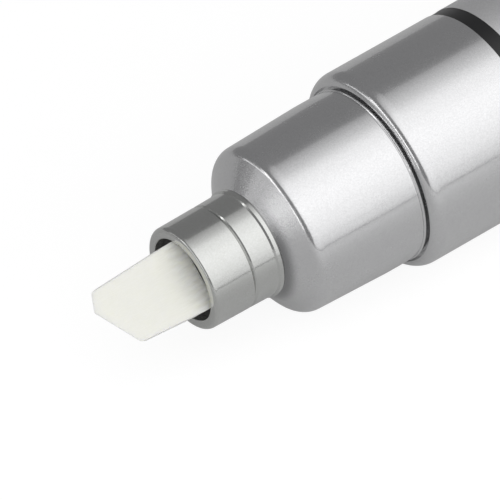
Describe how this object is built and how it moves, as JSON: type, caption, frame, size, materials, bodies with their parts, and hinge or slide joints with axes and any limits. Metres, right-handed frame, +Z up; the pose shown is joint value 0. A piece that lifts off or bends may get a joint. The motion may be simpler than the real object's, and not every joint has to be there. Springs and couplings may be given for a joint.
{
  "type": "liquid chalk marker",
  "caption": "Broad liquid chalk marker with a felt chisel nib, stepped silver front, pump valve inside, black barrel with bare label, and the cap posted on the tail.",
  "frame": {"origin": "centre of the box on the surface that the marker lies on", "axes": "+X along the marker from the nib to the cap, +Z up, +Y to the left seen from the cap"},
  "size_m": [0.218, 0.04, 0.04],
  "materials": {
    "felt": "matt pressed polyester felt",
    "silver_plastic": "semi-gloss silver paint on plastic",
    "silver_film": "matt silver label film",
    "black_plastic": "satin black moulded plastic",
    "white_plastic": "satin white moulded plastic",
    "black_rubber": "matt black rubber",
    "spring_steel": "drawn stainless wire",
    "polished_steel": "polished steel ball"
  },
  "bodies": {
    "marker": {"nib_guide": "black_plastic", "nib_holder": "silver_plastic", "front_section": "silver_plastic", "front_shell": "silver_plastic", "barrel": "black_plastic", "label_sleeve": "silver_film", "valve_body": "white_plastic", "valve_spring": "spring_steel", "spring_retainer": "white_plastic", "neck_gasket": "black_rubber", "tail_plug": "black_plastic", "tail_seal": "black_rubber", "end_disc": "white_plastic"},
    "nib_unit": {"nib": "felt", "nib_carrier": "white_plastic", "valve_stem": "white_plastic", "valve_seal": "black_rubber"},
    "cap": {"cap_shell": "silver_plastic", "cap_liner": "white_plastic", "cap_seal": "black_rubber"},
    "left_ball": {"mixing_ball_left": "polished_steel"},
    "right_ball": {"mixing_ball_right": "polished_steel"}
  },
  "joints": [
    {"name": "nib_press", "type": "slide", "parent": "marker", "child": "nib_unit", "axis": [1, 0, 0], "range_m": [0, 0.003], "stiffness_N_per_m": 400, "springref_m": -0.004, "deforming": ["valve_spring"]},
    {"name": "cap_pull", "type": "slide", "parent": "marker", "child": "cap", "axis": [1, 0, 0], "range_m": [0, 0.03]},
    {"name": "left_ball_roll", "type": "slide", "parent": "marker", "child": "left_ball", "axis": [1, 0, 0], "range_m": [0, 0.036]},
    {"name": "right_ball_roll", "type": "slide", "parent": "marker", "child": "right_ball", "axis": [1, 0, 0], "range_m": [0, 0.036]}
  ]
}
